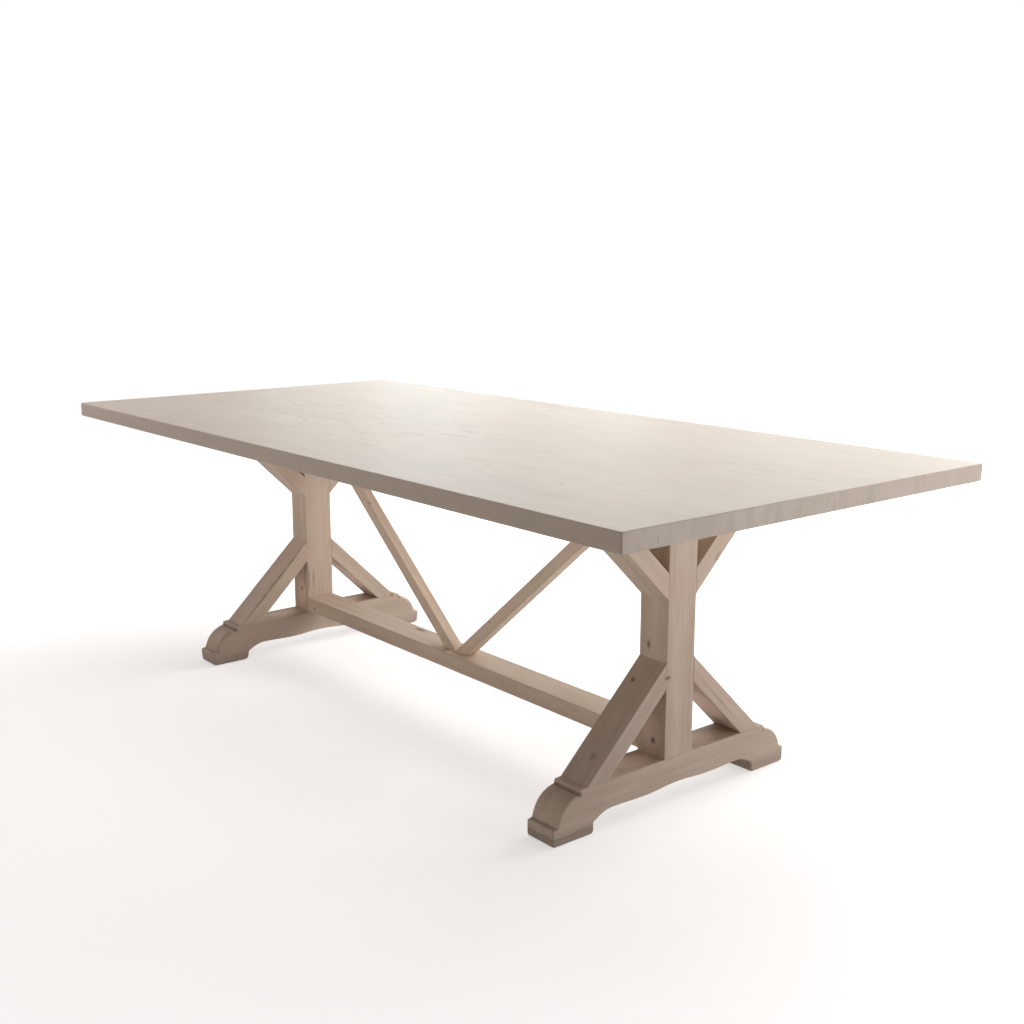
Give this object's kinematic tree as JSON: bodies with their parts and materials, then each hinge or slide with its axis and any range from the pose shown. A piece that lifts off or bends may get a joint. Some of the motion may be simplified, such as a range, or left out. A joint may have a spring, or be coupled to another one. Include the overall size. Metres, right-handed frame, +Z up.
{
  "type": "trestle dining table",
  "caption": "Rectangular dining table: a plank top on braced post trestles with arched, moulded feet, tied by a low flat stretcher and sloping struts.",
  "frame": {"origin": "on the floor, under the middle of the top", "axes": "+X along the table's length, towards the right trestle; +Y across it, from the front long side to the back one; +Z up"},
  "size_m": [2.342, 1.101, 0.762],
  "materials": {
    "tabletop": "matt bleached pine",
    "frame_timber": "matt bleached knotty pine",
    "spline_wood": "bare, unfinished",
    "screw_steel": "zinc plated"
  },
  "bodies": {
    "root": {"top_board_1": "tabletop", "top_board_2": "tabletop", "top_board_3": "tabletop", "top_board_4": "tabletop", "top_board_5": "tabletop", "top_board_6": "tabletop", "spline_1": "spline_wood", "spline_2": "spline_wood", "spline_3": "spline_wood", "spline_4": "spline_wood", "spline_5": "spline_wood", "right_foot": "frame_timber", "right_post": "frame_timber", "right_bearer": "frame_timber", "right_lower_brace_back": "frame_timber", "right_lower_brace_front": "frame_timber", "right_upper_brace_back": "frame_timber", "right_upper_brace_front": "frame_timber", "left_foot": "frame_timber", "left_post": "frame_timber", "left_bearer": "frame_timber", "left_lower_brace_back": "frame_timber", "left_lower_brace_front": "frame_timber", "left_upper_brace_back": "frame_timber", "left_upper_brace_front": "frame_timber", "stretcher": "frame_timber", "right_strut": "frame_timber", "left_strut": "frame_timber", "bearer_screws": "screw_steel", "strut_foot_screws": "screw_steel", "strut_head_screws": "screw_steel"}
  },
  "joints": []
}
